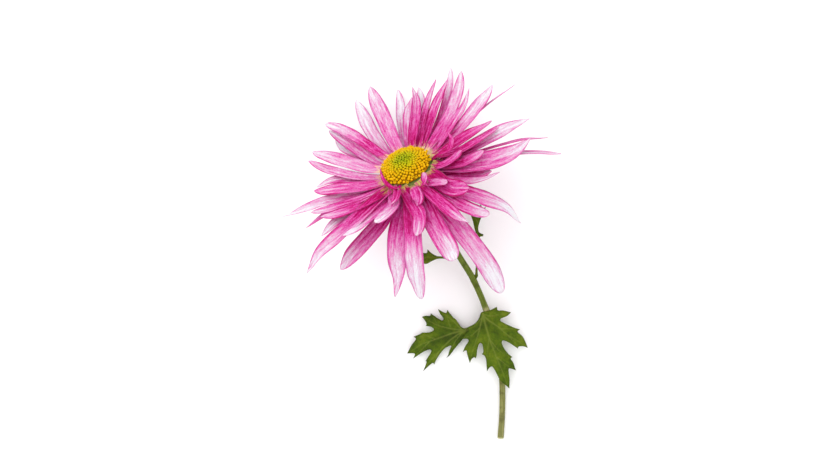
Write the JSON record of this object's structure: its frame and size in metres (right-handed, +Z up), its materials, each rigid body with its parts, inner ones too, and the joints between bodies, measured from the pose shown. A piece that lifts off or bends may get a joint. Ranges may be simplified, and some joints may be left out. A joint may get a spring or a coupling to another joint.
{
  "type": "cut chrysanthemum",
  "caption": "Cut pink daisy-form chrysanthemum lying down: flower head with strap-shaped ray florets round a yellow disc, on a curved stem with lobed leaves.",
  "frame": {"origin": "middle of the bounding box's bottom, on the surface that the flower lies on", "axes": "+Y from the cut end of the stem towards the flower head, +Z up from the surface"},
  "size_m": [0.1114, 0.1548, 0.0622],
  "materials": {
    "stem": "matt green rind with fine lengthwise ribs",
    "disc": "matt, tightly packed yellow disc florets, green at the middle",
    "leaf": "satin dark green with pale veins",
    "floret": "soft satin, pink with paler tips and lengthwise streaks"
  },
  "bodies": {
    "root": {"stem": "stem", "disc_florets": "disc", "leaf_right": "leaf", "leaf_left": "leaf", "upper_leaf_left": "leaf", "upper_leaf_right": "leaf", "ray_floret_01": "floret", "ray_floret_02": "floret", "ray_floret_03": "floret", "ray_floret_04": "floret", "ray_floret_05": "floret", "ray_floret_06": "floret", "ray_floret_07": "floret", "ray_floret_08": "floret", "ray_floret_09": "floret", "ray_floret_10": "floret", "ray_floret_11": "floret", "ray_floret_12": "floret", "ray_floret_13": "floret", "ray_floret_14": "floret", "ray_floret_15": "floret", "ray_floret_16": "floret", "ray_floret_17": "floret", "ray_floret_18": "floret", "ray_floret_19": "floret", "ray_floret_20": "floret", "ray_floret_21": "floret", "ray_floret_22": "floret", "ray_floret_23": "floret", "ray_floret_24": "floret", "ray_floret_25": "floret", "ray_floret_26": "floret", "ray_floret_27": "floret", "ray_floret_28": "floret", "ray_floret_29": "floret", "ray_floret_30": "floret", "ray_floret_31": "floret", "ray_floret_32": "floret", "ray_floret_33": "floret", "ray_floret_34": "floret", "ray_floret_35": "floret", "ray_floret_36": "floret", "ray_floret_37": "floret", "ray_floret_38": "floret", "ray_floret_39": "floret", "ray_floret_40": "floret", "ray_floret_41": "floret", "ray_floret_42": "floret", "ray_floret_43": "floret", "ray_floret_44": "floret", "ray_floret_45": "floret", "ray_floret_46": "floret", "ray_floret_47": "floret", "ray_floret_48": "floret", "ray_floret_49": "floret", "ray_floret_50": "floret", "ray_floret_51": "floret", "ray_floret_52": "floret", "ray_floret_53": "floret", "ray_floret_54": "floret"}
  },
  "joints": []
}
